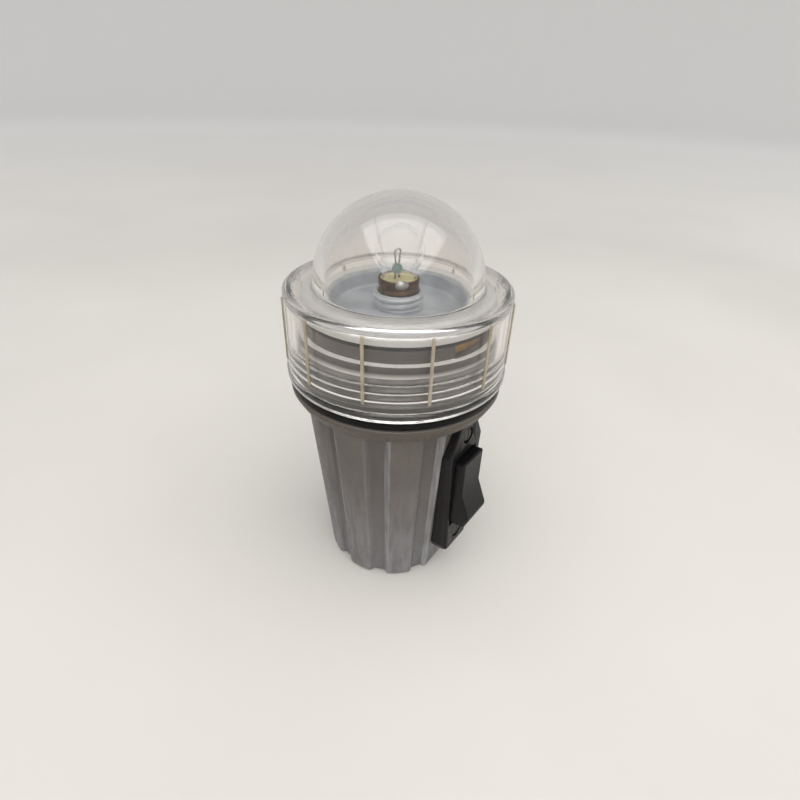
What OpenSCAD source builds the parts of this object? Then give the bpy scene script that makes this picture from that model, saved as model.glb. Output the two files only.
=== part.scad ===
// Hand-held distress marker light: a ribbed body with two cells and a rocker
// switch, a screw-on clear cap with a dome, and a small screw lamp in a dish.

/* [Body] */
// Radius over the ribs just under the collar
body_top_r = 22.9; // [21.8:0.1:23.5]
// Height of the tapered body, from the base to the collar
body_h = 52.5; // [51:0.5:56]
// Thickness of the base
base_t = 2.2; // [1.6:0.1:3]
// Wall behind the floor of each panel
wall_t = 1.5; // [1.1:0.1:1.8]
// Room between the cells and that wall, at the base
cell_room = 0.6; // [0.3:0.1:2]
// Broad ribs round the body, with a sunk panel between each two
rib_count = 10; // [8:1:12]
// Turn from the middle of the switch to the nearest panel's middle, in degrees
rib_turn = 7.4; // [-10:0.1:10]
// Width of a panel's floor, between its two creases
panel_w = 3; // [2:0.1:4]
// Depth of a panel's floor below the ribs, at the base
crease_bottom = 1.25; // [0.8:0.05:1.5]
// Depth of a panel's floor below the ribs, at the collar
crease_top = 2.25; // [1.3:0.05:2.5]
// Slope of a panel's two sides, in degrees
panel_slope = 50; // [35:1:70]
// Thickness of the two walls beside the cells
partition_t = 1.2; // [0.8:0.1:1.6]
// Height of those walls above the base
partition_h = 46; // [40:1:50]

/* [Collar and neck] */
// Height of the collar
collar_h = 3.8; // [3:0.1:5]
// How far the collar's upper edge lies inside the cap's skirt
collar_inset = 0.3; // [0.1:0.1:0.7]
// How far the collar's lower edge lies inside its upper edge
collar_taper = 1.3; // [0.7:0.1:2.2]
// Room for the screw thread between the neck and the cap's skirt
thread_room = 1; // [0.8:0.1:1.4]
// Wall of the neck behind its thread
neck_wall = 3; // [2.4:0.1:3.2]
// Height of the threaded part of the neck
thread_h = 14.7; // [13:0.1:16]
// How far the plain upper neck lies inside the threaded part
neck_step = 1.2; // [1.1:0.1:1.5]
// Height of the plain upper neck
neck_top_h = 3; // [2.5:0.1:4]
// Width of the contact notch in the upper neck
notch_w = 16; // [14:0.5:18]

/* [Seal and washer] */
// Height of the seal between the collar and the cap
seal_h = 2.4; // [2:0.1:3]
// Diameter of the seal's round section, cut flat above and below
seal_d = 2.6; // [2.5:0.05:2.8]
// Thickness of the washer under the reflector
washer_t = 0.8; // [0.5:0.1:1.2]
// Width of the washer's ring
washer_w = 1.6; // [1.2:0.1:1.7]

/* [Cap] */
// Radius of the cap's skirt
skirt_r = 26.5; // [26.3:0.1:27.5]
// Wall of the skirt
skirt_wall = 2.1; // [1.7:0.1:2.3]
// How far the bead at the open end stands out
bead_proud = 0.4; // [0.2:0.1:0.8]
// Height of that bead
bead_h = 2.4; // [1.5:0.1:3]
// Thickness of the flat shoulder
shoulder_t = 2.3; // [1.8:0.1:3]
// Round of the shoulder's outer edge
shoulder_round = 1; // [0.8:0.1:2]
// Radius of the dome
dome_r = 19.75; // [19:0.05:21]
// Wall of the dome
dome_wall = 2.6; // [1.8:0.1:3]
// Grip ribs on the skirt
cap_rib_count = 12; // [6:1:24]
// Width of a grip rib
cap_rib_w = 0.8; // [0.5:0.1:1.5]
// How far a grip rib stands out
cap_rib_proud = 0.35; // [0.2:0.05:0.8]
// Height from the bead to the foot of the grip ribs
cap_rib_foot = 1.8; // [0.5:0.1:4]
// Height from the head of the grip ribs to the shoulder's round
cap_rib_head = 0.5; // [0.3:0.1:4]
// Turn of the cap from the switch to its nearest grip rib, in degrees
cap_rib_turn = -8.5; // [-15:0.5:15]

/* [Reflector] */
// Room round the reflector's rim inside the skirt
reflector_room = 2; // [1.4:0.1:2.2]
// Height of the rim's skirt
rim_h = 2.8; // [2.2:0.1:3.4]
// Radius of the dish
dish_r = 16.2; // [15:0.1:16.8]
// Depth of the dish below its rim
dish_depth = 3.9; // [3:0.1:4.5]
// Draw-in of the dish wall towards its floor
dish_draft = 0.6; // [0:0.1:1]
// Thickness of the sheet
sheet_t = 0.6; // [0.4:0.05:0.8]
// Height of the lamp socket above the dish floor
socket_h = 4.5; // [4:0.1:6]

/* [Lamp] */
// Radius of the lamp's screw shell
lamp_r = 4.72; // [4.5:0.02:4.9]
// Length of the screw shell
lamp_shell_h = 9.8; // [9:0.1:10]
// Wall of the screw shell
lamp_shell_t = 0.4; // [0.3:0.05:0.6]
// How far the shell stands above the socket
lamp_proud = 3.15; // [2:0.05:4]
// Radius of the glass globe
globe_r = 5.5; // [5:0.1:6.5]
// Height of the globe's centre above the shell
globe_rise = 6.1; // [5.6:0.1:6.5]
// Radius of the globe's neck
globe_neck_r = 3.9; // [3.5:0.1:4]
// Wall of the glass
glass_t = 0.45; // [0.3:0.05:0.6]
// Radius of the bead that holds the lead wires
lamp_bead_r = 1.2; // [1.1:0.1:1.5]
// Height of that bead's centre above the shell
lamp_bead_rise = 1.8; // [1.4:0.1:2.5]
// Distance between the lead wires
lead_gap = 1.5; // [1.2:0.1:1.8]
// Diameter of a lead wire
lead_d = 0.4; // [0.3:0.05:0.5]
// Diameter of the wound filament
filament_d = 0.3; // [0.2:0.05:0.4]
// Height of the filament above the shell
filament_rise = 5.6; // [5:0.1:6.2]
// Height of the insulator below the shell
insulator_h = 1.6; // [1:0.1:2]
// Height of the contact tip below the insulator
tip_h = 0.8; // [0.5:0.1:1.2]
// Radius of the contact tip
tip_r = 1.8; // [1.4:0.1:2]
// Radius of the solder blob at the shell's upper edge
solder_r = 1.1; // [0.8:0.1:1.3]
// Turn from the switch to the solder blob, in degrees
solder_turn = -46; // [-180:1:180]

/* [Cells] */
// Diameter of a cell
cell_d = 14.5; // [14:0.1:14.6]
// Length of a cell, over its button
cell_l = 50.5; // [49.5:0.1:51]
// Height of a cell's button
button_h = 1.2; // [1:0.1:1.6]
// Radius of a cell's button
button_r = 2.75; // [2.4:0.05:3]
// Clearance round each cell
cell_clear = 0.25; // [0.1:0.05:0.35]
// Height of the spring under the first cell
spring_h = 3.5; // [3.2:0.1:4.5]
// Radius of the springs, to the middle of the wire
spring_r = 3.2; // [2.8:0.1:4]
// Wire diameter of the springs
wire_d = 0.7; // [0.5:0.05:0.8]
// Turns of each spring
spring_turns = 2; // [1.5:0.25:2]

/* [Contacts] */
// Thickness of the contact strips
strip_t = 0.5; // [0.4:0.05:0.6]
// Width of the strips to the switch
strip_w = 3; // [2:0.1:3.4]
// Thickness of the contact board
board_t = 1.6; // [1.2:0.1:2]
// Radius of the rivets
rivet_r = 1; // [0.8:0.05:1.1]
// Radius of the rivet heads
rivet_head_r = 1.4; // [1.2:0.1:1.6]
// Height of the rivet heads
rivet_head_h = 0.8; // [0.6:0.05:1]
// Room for the strips between the cell wall and the switch
strip_room = 3.55; // [3.2:0.05:4]
// Length of a switch terminal behind the carrier
terminal_l = 2; // [1.6:0.1:2.4]
// Height of a switch terminal above or below the pin
terminal_z = 7; // [5:0.1:9]
// Gap between the strip to the switch and the strip from it
strip_gap = 0.6; // [0.4:0.1:1.2]
// Reach of the feed strip's foot from its riser to its rivet
feed_reach = 3.5; // [2.5:0.1:5]
// Distance of the return strip's rivet from the light's axis
return_reach = 6; // [5:0.1:7]
// Width of the bridge under the cells
bridge_w = 8; // [6:0.5:9]
// Width of the lamp's contact leaf
leaf_w = 5; // [4:0.1:6]

/* [Switch] */
// Depth of the rocker's pin behind the switch base's face
pin_depth = 1.8; // [1.6:0.05:2]
// Radius of the pin
pin_r = 0.8; // [0.6:0.05:0.85]
// Depth of the rocker's pin in each side of the switch base
pin_grip = 0.9; // [0.6:0.1:1]
// Height of the rocker's pin over the seat behind it
pin_over = 1.56; // [1.4:0.02:1.8]
// Gap between the collar and the top of the switch base
switch_top_gap = 1.1; // [0.5:0.1:2]
// Width of the switch base at its widest
switch_w = 15.4; // [14.8:0.1:16]
// Height of the switch base below the pin
switch_below = 21.8; // [20.5:0.1:23]
// Height of the switch base above the pin
switch_above = 21.2; // [20.5:0.1:21.5]
// Width of the switch base's narrow top
switch_top_w = 6.4; // [6:0.1:9]
// Width of the switch base at its foot
switch_foot_w = 11; // [10.8:0.1:12]
// Height over which the switch base narrows to its top
switch_top_taper = 8.5; // [7:0.1:9.5]
// Bevel round the switch base's face
switch_bevel = 1.3; // [0.6:0.1:1.5]
// Length of the rocker
rocker_l = 20.6; // [19:0.1:21]
// Width of the rocker
rocker_w = 9.4; // [8.8:0.1:9.4]
// Height of the rocker's valley above the pin
rocker_rise = 4.3; // [4:0.1:4.6]
// Height of the toe's edge above the pin, on the rocker's lower half
rocker_toe_rise = 6.2; // [5.6:0.1:6.4]
// Distance of the toe's edge from the pin, along the rocker
rocker_toe_l = 7.1; // [6:0.1:8.5]
// Height of the rocker's lower end above the pin
rocker_end_rise = 4.4; // [3.6:0.1:5.2]
// Swing of the rocker between its two rest positions, in degrees
rocker_swing = 15; // [12:0.5:16]
// Depth of the switch carrier's face behind the pin
carrier_depth = 2.2; // [2:0.1:2.6]
// Clearance at each end of the rocker
rocker_end_gap = 1; // [0.8:0.1:1.2]
// Height of the screws in the switch base above and below the pin
switch_screw_span = 16.3; // [15.6:0.1:16.8]

/* [Screws] */
// Radius of a screw's shank
screw_r = 1.1; // [0.9:0.05:1.2]
// Radius of a screw's head
screw_head_r = 2.1; // [1.8:0.05:2.2]
// Height of a screw's head
screw_head_h = 1.1; // [0.8:0.05:1.2]
// Length of a screw's shank
screw_l = 6; // [5:0.5:8]
// Wall of the bosses round the screws
boss_wall = 1.4; // [1:0.1:1.6]
// Gap between the cells and the bosses of the board's screws
boss_gap = 1.85; // [1:0.05:2.2]

/* [Fits] */
// Gap between the faces that meet when the cap is closed
seat_gap = 0.05; // [0.02:0.01:0.1]
// Clearance round a fitted piece
fit_clear = 0.1; // [0.05:0.01:0.15]
// Running clearance round the rocker's pin
pin_clear = 0.05; // [0.03:0.01:0.08]
// Side clearance of the rocker in its well
rocker_clear = 0.2; // [0.15:0.05:0.3]

/* [Hidden] */
$fn = 96;
// A length that overshoots every piece, for cutting shapes
far = 200;
// A short overlap for cutting shapes
eps = 0.01;

// Stack inside the body, from the base to the contact board
floor_z = base_t + strip_t;
cell_x = cell_d / 2 + cell_clear;
cell_up_z = floor_z + spring_h;
board_z = cell_up_z + cell_l + rivet_head_h;
board_top_z = board_z + board_t;
partition_y = cell_d / 2 + 1.6 * cell_clear;
boss_r = screw_r + boss_wall;
board_screw_turn = 45;
board_screw_turns = [180, board_screw_turn, -board_screw_turn];
boss_reach = cell_d / 2 + boss_r + boss_gap;
boss_side = cell_x * cos(board_screw_turn);
boss_y = cell_x * sin(board_screw_turn) + sqrt(boss_reach * boss_reach - boss_side * boss_side);

// Radii that follow the cap's skirt
skirt_bore_r = skirt_r - skirt_wall;
collar_r = skirt_r - collar_inset;
collar_low_r = collar_r - collar_taper;
neck_r = skirt_bore_r - thread_room;
neck_top_r = neck_r - neck_step;
neck_bore_r = neck_r - neck_wall;
reflector_r = skirt_bore_r - reflector_room;

// Heights of the neck and of what is stacked on it
collar_z = body_h + collar_h;
ledge_z = collar_z + thread_h;
neck_z = ledge_z + neck_top_h;
rim_z = neck_z + washer_t + seat_gap;
rim_top_z = rim_z + rim_h;
dish_z = rim_top_z - dish_depth;
socket_z = dish_z + socket_h;
cap_z = collar_z + seal_h + seat_gap;
shoulder_z = rim_top_z + seat_gap;
shoulder_top_z = shoulder_z + shoulder_t;
dome_bore_r = dome_r - dome_wall;

// Heights of the lamp
lamp_top_z = socket_z + lamp_proud;
lamp_low_z = lamp_top_z - lamp_shell_h;
lamp_tip_z = lamp_low_z - insulator_h - tip_h;
lamp_bore_r = lamp_r - lamp_shell_t;
cement_h = 2;
cement_z = lamp_top_z - lamp_shell_t;

// The panels and the cavity lean outwards alike
crease_low_r = cell_x + cell_d / 2 + cell_room + wall_t;
crease_high_r = body_top_r - crease_top;
body_bottom_r = crease_low_r + crease_bottom;
panel_lean = (crease_high_r - crease_low_r) / body_h;
function crease_r(z) = crease_low_r + panel_lean * z;
function cavity_r(z) = crease_r(z) - wall_t;

// The switch's well, through its base and the body's wall
pin_z = body_h - switch_top_gap - switch_above;
pin_y = crease_r(pin_z) + pin_over;
switch_face_y = pin_y + pin_depth;
well_w = rocker_w + 2 * rocker_clear;
well_h = rocker_l + 2 * rocker_end_gap;
rocker_tilt = rocker_swing / 2;
carrier_y = pin_y - carrier_depth;
carrier_back_y = partition_y + partition_t + strip_room;
strip_x = (strip_w + strip_gap) / 2;
strip_y = carrier_back_y - terminal_l / 2;
feed_rivet = [strip_x, -strip_y - feed_reach];
return_rivet = [-strip_x, -return_reach];
lamp_rivet = [cell_x, 0];

// A strip of the given plan, thickness strip_t, standing on height z
module plate(z) {
  translate([0, 0, z]) linear_extrude(strip_t) children();
}

// Rectangle between two corners
module rect(a, b) {
  translate(a) square(b - a);
}

// Screw with a round head, pointing down, its head's seat at the origin
module screw() {
  cylinder(r = screw_head_r, h = screw_head_h);
  translate([0, 0, -screw_l]) cylinder(r = screw_r, h = screw_l + eps);
}

// Coil of wire between two heights, one unbroken tube of six sides
module coil(z0, z1) {
  rings = ceil(8 * spring_turns) + 1;
  rise = (z1 - z0 - wire_d) / (rings - 1);
  sides = 6;
  points = [
    for (i = [0 : rings - 1], s = [0 : sides - 1])
      let (
        turn = 360 * spring_turns * i / (rings - 1),
        out = spring_r + wire_d / 2 * cos(360 * s / sides),
        up = z0 + wire_d / 2 + rise * i + wire_d / 2 * sin(360 * s / sides)
      )
      [out * cos(turn), out * sin(turn), up]
  ];
  walls = [
    for (i = [0 : rings - 2], s = [0 : sides - 1], half = [0, 1])
      let (
        a = i * sides + s,
        b = i * sides + (s + 1) % sides
      )
      half == 0 ? [a, b, b + sides] : [a, b + sides, a + sides]
  ];
  first = [for (s = [1 : sides - 2]) [0, s + 1, s]];
  end = (rings - 1) * sides;
  last = [for (s = [1 : sides - 2]) [end, end + s, end + s + 1]];
  echo(coil_gap = rise * 8 - wire_d);
  polyhedron(points, concat(walls, first, last));
}

// Prism of an outline that leans with the panels, on the switch side
module side_cut() {
  translate([0, -crease_low_r, 0])
    rotate([atan(panel_lean), 0, 0])
      translate([0, 0, -far / 2])
        linear_extrude(far) children();
}

// Tapered body with its ribs, its panels and the flat seat of the switch, solid
module ribbed_body() {
  half = panel_w / 2;
  run = far / tan(panel_slope);
  difference() {
    cylinder(r1 = body_bottom_r, r2 = body_top_r, h = body_h);
    for (i = [0 : rib_count - 1])
      rotate([0, 0, rib_turn + i * 360 / rib_count])
        side_cut() polygon([[-half, 0], [half, 0], [half + run, -far], [-half - run, -far]]);
    side_cut() translate([-far / 2, -far]) square([far, far]);
  }
}

// Collar and stepped neck, solid
module collar_and_neck() {
  rotate_extrude()
    polygon([
      [0, body_h], [collar_low_r - 0.4, body_h], [collar_low_r, body_h + 0.4],
      [collar_r, collar_z - 1], [collar_r, collar_z], [neck_r, collar_z],
      [neck_r, ledge_z], [neck_top_r, ledge_z], [neck_top_r, neck_z], [0, neck_z]
    ]);
}

// Bosses that the board's screws go into, each with a web to the cavity's wall
module board_bosses() {
  for (a = board_screw_turns)
    rotate([0, 0, a])
      translate([0, -boss_y, 0]) {
        cylinder(r = boss_r, h = board_z);
        translate([-boss_r, -far, 0]) cube([2 * boss_r, far, board_z]);
      }
}

// Room for the cells and, above the board, the bore of the neck
module cavity() {
  translate([0, 0, base_t])
    cylinder(r1 = cavity_r(base_t), r2 = cavity_r(board_z), h = board_z - base_t);
  translate([0, 0, board_z]) cylinder(r = neck_bore_r, h = far);
}

// Bosses and cell walls inside the cavity, let into its wall, and the bridge's stake
module inner_walls() {
  low = base_t / 2;
  bite = wall_t / 2;
  intersection() {
    union() {
      board_bosses();
      for (side = [-1, 1])
        translate([-far / 2, side * (partition_y + partition_t / 2) - partition_t / 2, 0])
          cube([far, partition_t, partition_h]);
      for (side = [-1, 1])
        translate([0, 0, pin_z + side * switch_screw_span])
          rotate([90, 0, 0])
            translate([0, 0, switch_face_y - screw_head_h - fit_clear - screw_l - boss_wall])
              cylinder(r = boss_r, h = far);
    }
    translate([0, 0, low])
      cylinder(r1 = cavity_r(low) + bite, r2 = cavity_r(board_z) + bite, h = board_z - low);
  }
  cylinder(r = rivet_r, h = floor_z + strip_t);
}

// Well of the rocker, as deep as its carrier's face
module switch_well() {
  translate([-well_w / 2, -far, pin_z - well_h / 2])
    cube([well_w, far - carrier_back_y, well_h]);
}

// Holes for the two screws of the switch base
module switch_screw_holes(r) {
  for (side = [-1, 1])
    translate([0, 0, pin_z + side * switch_screw_span])
      rotate([90, 0, 0])
        translate([0, 0, switch_face_y - screw_head_h - fit_clear - screw_l])
          cylinder(r = r, h = far);
}

module body_shell() {
  color([0.52, 0.51, 0.51])
    difference() {
      union() {
        difference() {
          union() {
            ribbed_body();
            collar_and_neck();
          }
          cavity();
        }
        inner_walls();
      }
      switch_well();
      switch_screw_holes(screw_r + pin_clear);
      for (a = board_screw_turns)
        rotate([0, 0, a])
          translate([0, -boss_y, board_z - screw_l])
            cylinder(r = screw_r + pin_clear, h = far);
      translate([-notch_w / 2, -far, ledge_z]) cube([notch_w, far, far]);
    }
}

module cap_seal() {
  seal_r = neck_r + seal_d / 2 + seat_gap;
  color([0.06, 0.06, 0.06])
    rotate_extrude()
      intersection() {
        translate([seal_r, collar_z + seal_h / 2]) circle(d = seal_d);
        translate([0, collar_z]) square([far, seal_h]);
      }
}

module reflector_washer() {
  color([0.05, 0.05, 0.05])
    translate([0, 0, neck_z])
      difference() {
        cylinder(r = neck_top_r, h = washer_t);
        translate([0, 0, -eps]) cylinder(r = neck_top_r - washer_w, h = washer_t + 2 * eps);
      }
}

// Outline of the switch base seen from the front, wider than its leaning sides
module switch_outline() {
  low = pin_z - switch_below;
  high = pin_z + switch_above;
  out = 2 * switch_bevel;
  corner_x = switch_w / 2 + out;
  corner_z = high - switch_top_taper * (corner_x - switch_top_w / 2) / (switch_w / 2 - switch_top_w / 2);
  foot_x = switch_foot_w / 2 + out;
  foot_z = low + 3 * out;
  polygon([
    [switch_bevel - switch_foot_w / 2, low], [switch_foot_w / 2 - switch_bevel, low], [foot_x, foot_z],
    [corner_x, corner_z], [switch_top_w / 2, high], [-switch_top_w / 2, high],
    [-corner_x, corner_z], [-foot_x, foot_z]
  ]);
}

// Everything on the inner side of one leaning side of the switch base, bevelled at its face
module switch_side(side) {
  rise = switch_above + switch_below - switch_top_taper - 2 * switch_bevel;
  lean = atan((switch_w - switch_foot_w) / 2 / rise);
  translate([side * switch_w / 2, 0, pin_z + switch_above - switch_top_taper])
    rotate([0, side * lean, 0])
      translate([0, 0, -far])
        linear_extrude(2 * far)
          polygon([
            [-side * far, 0], [0, 0], [0, switch_bevel - switch_face_y],
            [-side * switch_bevel / 2, -switch_face_y], [-side * far, -switch_face_y]
          ]);
}

module switch_base() {
  low = pin_z - switch_below;
  high = pin_z + switch_above;
  face = -switch_face_y;
  edge = face + switch_bevel;
  color([0.07, 0.07, 0.075])
    difference() {
      intersection() {
        rotate([90, 0, 0]) linear_extrude(far) switch_outline();
        switch_side(-1);
        switch_side(1);
        rotate([90, 0, 90])
          translate([0, 0, -far / 2])
            linear_extrude(far)
              polygon([
                [0, low], [edge, low], [face, low + switch_bevel],
                [face, high - switch_bevel], [edge, high], [0, high]
              ]);
      }
      ribbed_body();
      switch_well();
      switch_screw_holes(screw_r + fit_clear);
      for (side = [-1, 1])
        translate([0, 0, pin_z + side * switch_screw_span])
          rotate([90, 0, 0])
            translate([0, 0, switch_face_y - screw_head_h - fit_clear])
              cylinder(r = screw_head_r + fit_clear, h = far);
      pin_shape(fit_clear);
    }
}

// The rocker's pin, longer by a clearance at each end
module pin_shape(room) {
  length = well_w + 2 * pin_grip + 2 * room;
  translate([-length / 2, -pin_y, pin_z]) rotate([0, 90, 0]) cylinder(r = pin_r, h = length);
}

module switch_pin() {
  color([0.7, 0.7, 0.72]) pin_shape(0);
}

module switch_screws() {
  color([0.35, 0.34, 0.33])
    for (side = [-1, 1])
      translate([0, -(switch_face_y - screw_head_h - fit_clear), pin_z + side * switch_screw_span])
        rotate([90, 0, 0]) screw();
}

module switch_carrier() {
  w = well_w - 2 * fit_clear;
  h = well_h - 2 * fit_clear;
  color([0.1, 0.1, 0.11])
    difference() {
      translate([-w / 2, -carrier_y, pin_z - h / 2]) cube([w, carrier_y - carrier_back_y, h]);
      for (side = [-1, 1])
        translate([side * strip_x - strip_w / 2, -carrier_back_y - terminal_l, pin_z + side * terminal_z])
          cube([strip_w, far, strip_t]);
    }
}

module switch_terminals() {
  color([0.72, 0.56, 0.26])
    for (side = [-1, 1])
      translate([side * strip_x - strip_w / 2, -carrier_back_y - terminal_l, pin_z + side * terminal_z])
        cube([strip_w, 2 * terminal_l, strip_t]);
}

// Strip from a switch terminal up to the underside of the board
module riser(side) {
  low = pin_z + side * terminal_z + strip_t;
  translate([side * strip_x - strip_w / 2, -strip_y, low])
    cube([strip_w, strip_t, board_z - low]);
}

module feed_strip() {
  color([0.72, 0.56, 0.26])
    difference() {
      union() {
        riser(1);
        plate(board_z - strip_t)
          rect([strip_x - strip_w / 2, feed_rivet[1] - strip_w / 2],
               [strip_x + strip_w / 2, strip_t - strip_y]);
      }
      rivet_holes();
    }
}

module return_strip() {
  color([0.72, 0.56, 0.26])
    difference() {
      union() {
        riser(-1);
        plate(board_z - strip_t)
          union() {
            rect([-strip_x - strip_w / 2, -strip_y], [-strip_x + strip_w / 2, spring_r]);
            rect([-cell_x - spring_r - wire_d, -spring_r], [-strip_x + eps, spring_r]);
          }
      }
      rivet_holes();
    }
}

// Part of a thin ring that faces the switch side, between two widths and two heights
module arc_strip(r, x0, x1, z0, z1) {
  translate([0, 0, z0])
    linear_extrude(z1 - z0)
      intersection() {
        difference() {
          circle(r = r);
          circle(r = r - strip_t);
        }
        rect([x0, -far], [x1, 0]);
      }
}

module notch_strip() {
  r = neck_bore_r - 2 * fit_clear;
  head_x = notch_w / 2 - strip_t;
  left = strip_x - strip_w / 2;
  right = strip_x + strip_w / 2;
  head_z = (board_top_z + ledge_z) / 2;
  top_z = rim_top_z - sheet_t - fit_clear;
  color([0.72, 0.56, 0.26])
    difference() {
      union() {
        arc_strip(r, -head_x, head_x, head_z, top_z);
        arc_strip(r, left, right, board_top_z, head_z + eps);
        plate(board_top_z)
          intersection() {
            rect([left, -far], [right, feed_rivet[1] + strip_w / 2]);
            circle(r = r - strip_t / 2);
          }
      }
      rivet_holes();
    }
}

module base_bridge() {
  color([0.72, 0.56, 0.26])
    difference() {
      plate(base_t)
        rect([-cell_x - button_r, -bridge_w / 2], [cell_x + spring_r + wire_d, bridge_w / 2]);
      cylinder(r = rivet_r + pin_clear, h = far);
    }
}

module bridge_spring() {
  color([0.75, 0.75, 0.76])
    translate([cell_x, 0, 0]) coil(floor_z, cell_up_z);
}

module board_spring() {
  color([0.75, 0.75, 0.76])
    translate([-cell_x, 0, 0]) coil(floor_z + cell_l, board_z - strip_t);
}

// One cell standing on its flat end, button up
module cell() {
  edge = 0.4;
  can_h = cell_l - button_h;
  rotate_extrude()
    polygon([
      [0, 0], [cell_d / 2 - edge, 0], [cell_d / 2, edge], [cell_d / 2, can_h - edge],
      [cell_d / 2 - edge, can_h], [button_r, can_h], [button_r, cell_l], [0, cell_l]
    ]);
}

module cell_button_up() {
  color([0.25, 0.28, 0.33]) translate([cell_x, 0, cell_up_z]) cell();
}

module cell_button_down() {
  color([0.25, 0.28, 0.33])
    translate([-cell_x, 0, floor_z + cell_l]) rotate([180, 0, 0]) cell();
}

// Holes through everything that the three rivets hold
module rivet_holes() {
  for (p = [feed_rivet, return_rivet, lamp_rivet])
    translate(p) cylinder(r = rivet_r + pin_clear, h = far);
}

module contact_board() {
  color([0.45, 0.28, 0.14])
    difference() {
      translate([0, 0, board_z]) cylinder(r = neck_bore_r - fit_clear, h = board_t);
      rivet_holes();
      for (a = board_screw_turns)
        rotate([0, 0, a]) translate([0, -boss_y, 0]) cylinder(r = screw_r + fit_clear, h = far);
    }
}

module board_screws() {
  color([0.7, 0.7, 0.72])
    for (a = board_screw_turns)
      rotate([0, 0, a]) translate([0, -boss_y, board_top_z]) screw();
}

// Rivet through the board, with what lies under and over the board
module rivet(p, under, over) {
  low = board_z - under;
  high = board_top_z + over;
  translate([p[0], p[1], low - rivet_head_h]) cylinder(r = rivet_head_r, h = rivet_head_h);
  translate([p[0], p[1], low - eps]) cylinder(r = rivet_r, h = high - low + 2 * eps);
  translate([p[0], p[1], high]) cylinder(r = rivet_head_r, h = rivet_head_h);
}

module board_rivets() {
  color([0.75, 0.6, 0.32]) {
    rivet(feed_rivet, strip_t, strip_t);
    rivet(return_rivet, strip_t, 0);
    rivet(lamp_rivet, 0, strip_t);
  }
}

module lamp_leaf() {
  low = board_top_z;
  high = lamp_tip_z - fit_clear;
  foot_x = cell_x + rivet_head_r + strip_t;
  bend_x = cell_x - rivet_head_r - strip_t;
  pad_x = tip_r + strip_t;
  color([0.72, 0.56, 0.26])
    difference() {
      translate([0, leaf_w / 2, 0])
        rotate([90, 0, 0])
          linear_extrude(leaf_w)
            polygon([
              [foot_x, low], [bend_x - strip_t, low], [pad_x - strip_t, high - strip_t],
              [-pad_x, high - strip_t], [-pad_x, high], [pad_x, high],
              [bend_x, low + strip_t], [foot_x, low + strip_t]
            ]);
      rivet_holes();
    }
}

// Pressed sheet: rim skirt, flat rim, dish and the socket tube, from one profile
module reflector() {
  bore_r = lamp_r + fit_clear;
  floor_r = dish_r - dish_draft;
  color([0.72, 0.75, 0.78])
    rotate_extrude()
      polygon([
        [reflector_r, rim_z], [reflector_r, rim_top_z], [dish_r, rim_top_z], [floor_r, dish_z],
        [bore_r + sheet_t, dish_z], [bore_r + sheet_t, socket_z], [bore_r, socket_z],
        [bore_r, dish_z - sheet_t], [floor_r + sheet_t, dish_z - sheet_t],
        [dish_r + sheet_t, rim_top_z - sheet_t], [reflector_r - sheet_t, rim_top_z - sheet_t],
        [reflector_r - sheet_t, rim_z]
      ]);
}

module lamp_shell() {
  color([0.45, 0.33, 0.14])
    translate([0, 0, lamp_low_z])
      difference() {
        cylinder(r = lamp_r, h = lamp_shell_h);
        translate([0, 0, -eps]) cylinder(r = lamp_bore_r, h = lamp_shell_h + 2 * eps);
      }
}

module lamp_insulator() {
  r = lamp_bore_r - pin_clear;
  color([0.08, 0.07, 0.07])
    rotate_extrude()
      polygon([
        [0, lamp_low_z - insulator_h], [tip_r + 0.2, lamp_low_z - insulator_h],
        [r, lamp_low_z], [r, lamp_low_z + insulator_h], [0, lamp_low_z + insulator_h]
      ]);
}

module lamp_tip() {
  color([0.6, 0.6, 0.6])
    translate([0, 0, lamp_tip_z]) cylinder(r1 = 0.7 * tip_r, r2 = tip_r, h = tip_h);
}

module lamp_cement() {
  color([0.85, 0.8, 0.6])
    translate([0, 0, cement_z - cement_h]) cylinder(r = lamp_bore_r - pin_clear, h = cement_h);
}

module lamp_glass() {
  globe_z = lamp_top_z + globe_rise;
  color([0.9, 0.92, 0.92, 0.4])
    difference() {
      union() {
        translate([0, 0, globe_z]) sphere(r = globe_r);
        translate([0, 0, cement_z]) cylinder(r = globe_neck_r, h = globe_z - cement_z);
      }
      translate([0, 0, globe_z]) sphere(r = globe_r - glass_t);
      translate([0, 0, cement_z - eps]) cylinder(r = globe_neck_r - glass_t, h = globe_z - cement_z);
    }
}

// The two lead wires, at a chosen radius
module lead_pair(r) {
  for (side = [-1, 1])
    translate([side * lead_gap / 2, 0, cement_z])
      cylinder(r = r, h = lamp_top_z + filament_rise - cement_z);
}

module lamp_bead() {
  color([0.1, 0.42, 0.36])
    difference() {
      translate([0, 0, lamp_top_z + lamp_bead_rise]) rotate([90, 0, 0]) sphere(r = lamp_bead_r);
      lead_pair(lead_d / 2 + pin_clear);
    }
}

module lamp_leads() {
  color([0.55, 0.5, 0.45]) lead_pair(lead_d / 2);
}

module lamp_filament() {
  color([0.4, 0.4, 0.42])
    translate([-lead_gap / 2, 0, lamp_top_z + filament_rise + filament_d / 2 + pin_clear])
      rotate([0, 90, 0]) cylinder(d = filament_d, h = lead_gap);
}

module lamp_solder() {
  color([0.7, 0.7, 0.7])
    difference() {
      rotate([0, 0, solder_turn])
        translate([0, -lamp_r, lamp_top_z - lamp_shell_t]) sphere(r = solder_r);
      cylinder(r = lamp_r, h = lamp_top_z);
      cylinder(r = lamp_r, h = far);
    }
}

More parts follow.
